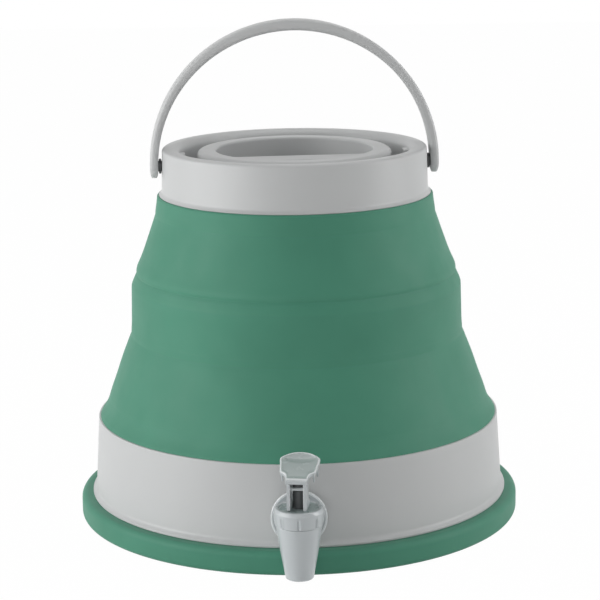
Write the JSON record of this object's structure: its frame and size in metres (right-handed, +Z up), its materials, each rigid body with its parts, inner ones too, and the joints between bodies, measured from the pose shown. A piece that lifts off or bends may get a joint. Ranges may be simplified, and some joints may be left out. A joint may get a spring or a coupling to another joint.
{
  "type": "collapsible water carrier",
  "caption": "Round collapsible water carrier: a soft folding wall between a rigid pan and a collar, with a screw lid, a strap bail handle and a lever tap.",
  "frame": {"origin": "centre of the foot tray's underside, on the vessel's axis", "axes": "+Z up along the vessel's axis, -Y towards the tap, X left and right, close to the bail's swing axis"},
  "size_m": [0.32, 0.3499, 0.3595],
  "materials": {
    "green_rubber": "matt soft green",
    "grey_plastic": "satin pale grey",
    "tap_plastic": "cloudy, slightly see-through",
    "dark_plastic": "satin dark grey",
    "seal_rubber": "soft pale seal",
    "spring_steel": "bright"
  },
  "bodies": {
    "base": {"foot_tray": "green_rubber", "lower_pan": "grey_plastic", "wall_shoulder": "green_rubber", "wall_lower_web": "green_rubber", "tap_gasket_outer": "seal_rubber", "tap_gasket_inner": "seal_rubber", "tap_nut": "tap_plastic", "tap_body": "tap_plastic", "tap_bonnet": "tap_plastic", "tap_spring": "spring_steel"},
    "mid": {"wall_mid_band": "green_rubber", "wall_upper_web": "green_rubber"},
    "collar": {"wall_lip": "green_rubber", "collar_shell": "grey_plastic", "neck_ring": "grey_plastic", "bail_pin_left": "dark_plastic", "bail_pin_right": "dark_plastic", "pin_clip_left": "spring_steel", "pin_clip_right": "spring_steel"},
    "lid_seal": {"lid_gasket": "seal_rubber"},
    "lid": {"lid_shell": "grey_plastic"},
    "bail": {"bail_handle": "grey_plastic"},
    "stem": {"tap_stem": "dark_plastic", "seat_cup": "seal_rubber"},
    "lever": {"tap_lever": "tap_plastic"}
  },
  "joints": [
    {"name": "lower_fold", "type": "slide", "parent": "base", "child": "mid", "axis": [0, 0, -1], "range_m": [0, 0.099], "deforming": ["wall_lower_web"]},
    {"name": "upper_fold", "type": "slide", "parent": "mid", "child": "collar", "axis": [0, 0, -1], "range_m": [0, 0.076], "deforming": ["wall_upper_web"]},
    {"name": "lid_lift", "type": "slide", "parent": "collar", "child": "lid_seal", "axis": [0, 0, 1], "range_m": [0, 0.05]},
    {"name": "lid_turn", "type": "hinge", "parent": "lid_seal", "child": "lid", "pos_m": [0, 0, 0.2664], "axis": [0, 0, 1], "range_deg": [0, 90]},
    {"name": "bail_swing", "type": "hinge", "parent": "collar", "child": "bail", "pos_m": [0, 0, 0.2555], "axis": [0.9981, 0.061, 0], "range_deg": [-90, 90]},
    {"name": "stem_lift", "type": "slide", "parent": "base", "child": "stem", "axis": [0, 0, 1], "range_m": [0, 0.0023], "deforming": ["tap_spring"]},
    {"name": "lever_press", "type": "hinge", "parent": "stem", "child": "lever", "pos_m": [-0.00044, -0.17608, 0.0663], "axis": [-0.9903, 0.1392, 0], "range_deg": [0, 20.3], "stiffness_Nm_per_rad": 0.0065, "springref_deg": -57.3}
  ],
  "couplings": [
    {"joint": "lever_press", "follows": "stem_lift", "rad_per_m": 151.52}
  ]
}
